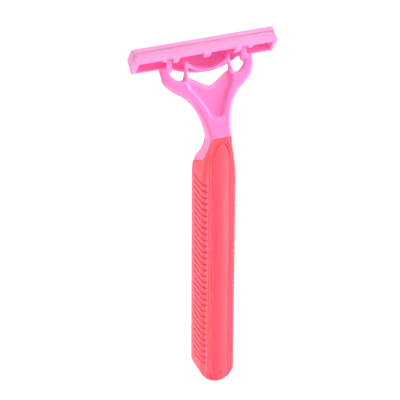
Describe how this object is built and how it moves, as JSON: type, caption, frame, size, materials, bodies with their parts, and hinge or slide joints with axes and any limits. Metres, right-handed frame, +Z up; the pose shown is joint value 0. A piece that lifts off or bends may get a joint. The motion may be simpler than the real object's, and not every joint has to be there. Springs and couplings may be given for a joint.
{
  "type": "cartridge razor",
  "caption": "Pivoting wet-shaving razor in pink plastic with a ribbed coral grip, a forked neck, a sprung blade cartridge and a push-fit travel cover.",
  "frame": {"origin": "centre of the bottom of the bounding box, with the razor lying on its blade side on a table, travel cover on", "axes": "+X along the cartridge, -Y from the tail to the head, +Z up out of the handle's smooth back"},
  "size_m": [0.043, 0.1092, 0.0181],
  "materials": {
    "pink_plastic": "smooth glossy moulded plastic",
    "coral_grip": "satin soft-touch elastomer",
    "blade_steel": "ground stainless strip",
    "white_plastic": "plain moulded plastic",
    "strip_polymer": "waxy lubricating polymer",
    "guard_rubber": "soft finned elastomer",
    "rivet_metal": "staked bright metal"
  },
  "bodies": {
    "handle": {"handle_core": "pink_plastic", "return_spring": "pink_plastic", "grip_sleeve": "coral_grip", "back_panel": "coral_grip"},
    "cartridge": {"cartridge_frame": "pink_plastic", "lower_blade": "blade_steel", "blade_spacer": "white_plastic", "upper_blade": "blade_steel", "cartridge_cap": "white_plastic", "lubricating_strip": "strip_polymer", "guard_strip": "guard_rubber", "blade_rivets": "rivet_metal"},
    "cover": {"travel_cover": "pink_plastic"}
  },
  "joints": [
    {"name": "cartridge_pivot", "type": "hinge", "parent": "handle", "child": "cartridge", "pos_m": [0, -0.05023, 0.00636], "axis": [1, 0, 0], "range_deg": [0, 16], "stiffness_Nm_per_rad": 0.02, "springref_deg": -5.73, "deforming": ["return_spring"]},
    {"name": "cover_slide", "type": "slide", "parent": "cartridge", "child": "cover", "axis": [0, -0.6548, -0.7558], "range_m": [0, 0.012]}
  ]
}
